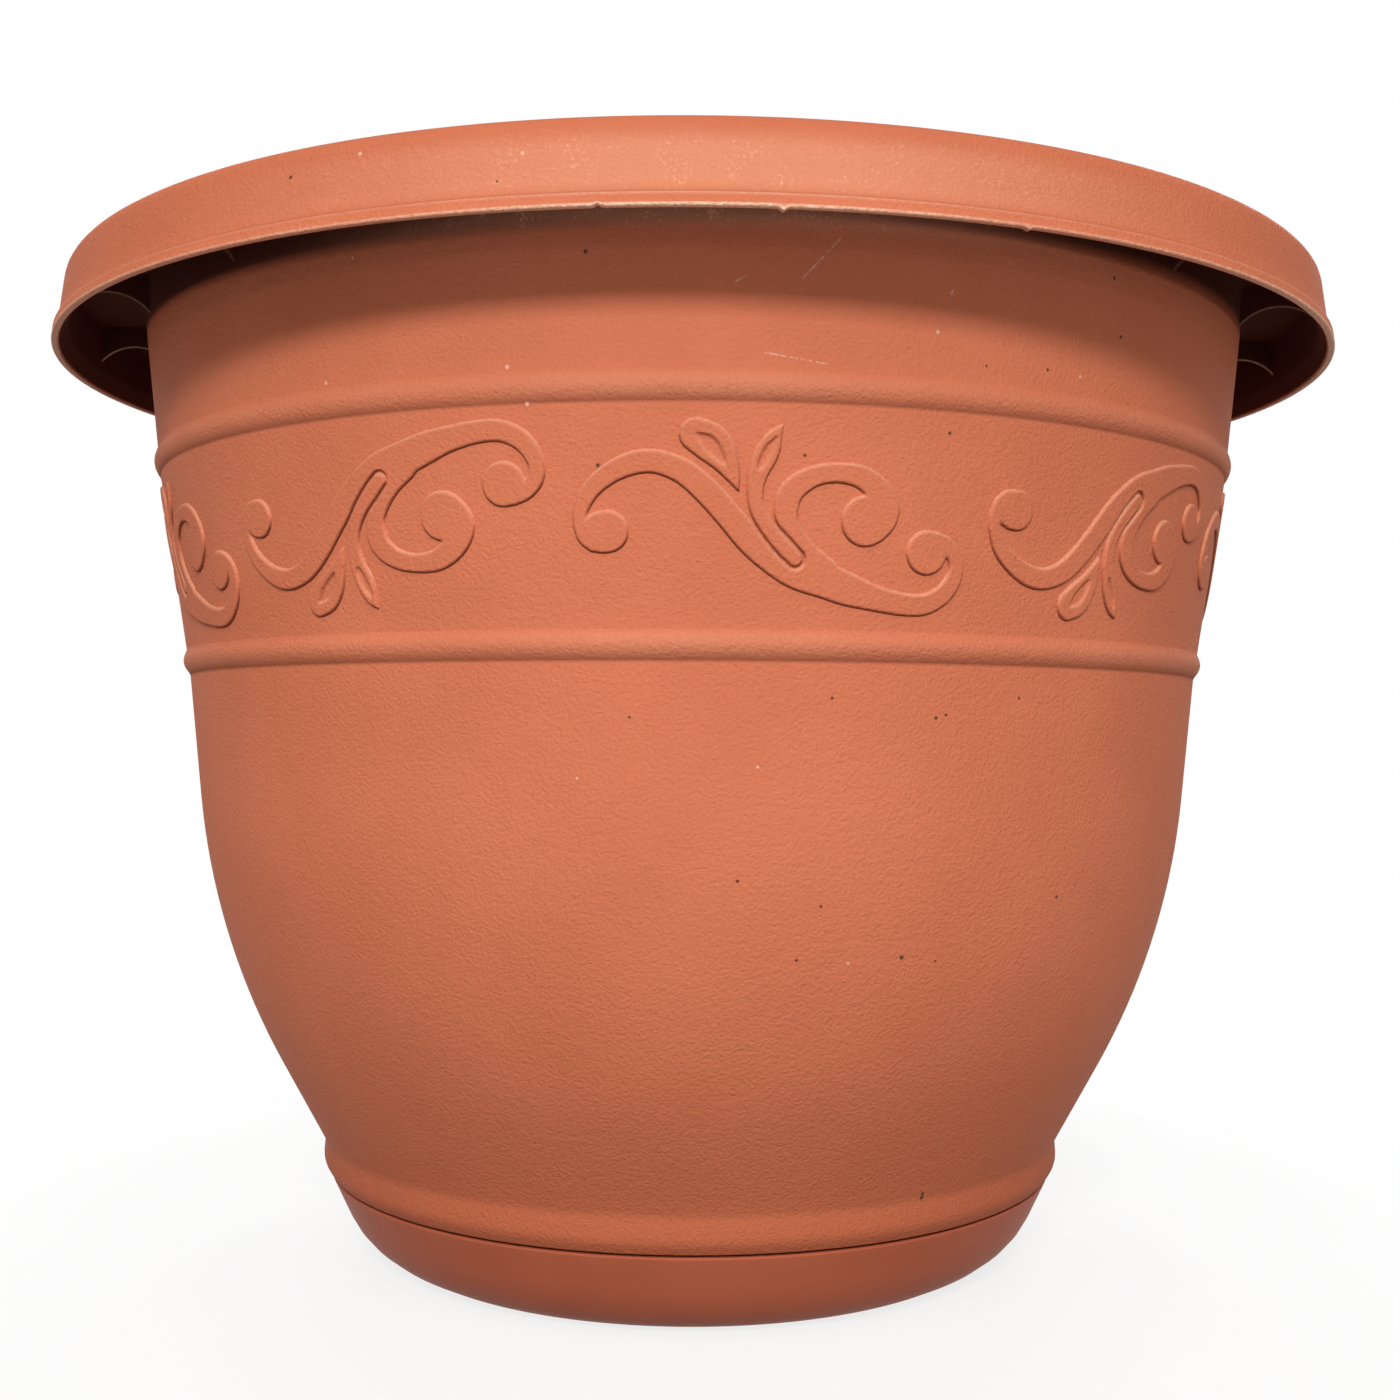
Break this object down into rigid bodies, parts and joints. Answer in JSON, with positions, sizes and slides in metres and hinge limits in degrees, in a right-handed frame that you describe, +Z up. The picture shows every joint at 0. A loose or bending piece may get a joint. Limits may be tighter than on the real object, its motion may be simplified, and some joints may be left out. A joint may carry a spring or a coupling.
{
  "type": "flower pot",
  "caption": "Round bell-shaped plastic flower pot with a hollow overhanging rim, two rings round an ornament band, and a lift-off saucer that closes its base.",
  "frame": {"origin": "on the ground below the middle of the saucer", "axes": "+Z up along the pot's axis, -Y towards the picture's camera"},
  "size_m": [0.3048, 0.3048, 0.2285],
  "materials": {
    "grained_plastic": "terracotta-coloured polypropylene with a fine moulded grain, matte",
    "smooth_plastic": "terracotta-coloured polypropylene, smooth, low sheen"
  },
  "bodies": {
    "saucer": {"saucer": "smooth_plastic"},
    "pot": {"pot": "grained_plastic"}
  },
  "joints": [
    {"name": "pot_lift", "type": "slide", "parent": "saucer", "child": "pot", "axis": [0, 0, 1], "range_m": [0, 0.08]}
  ]
}
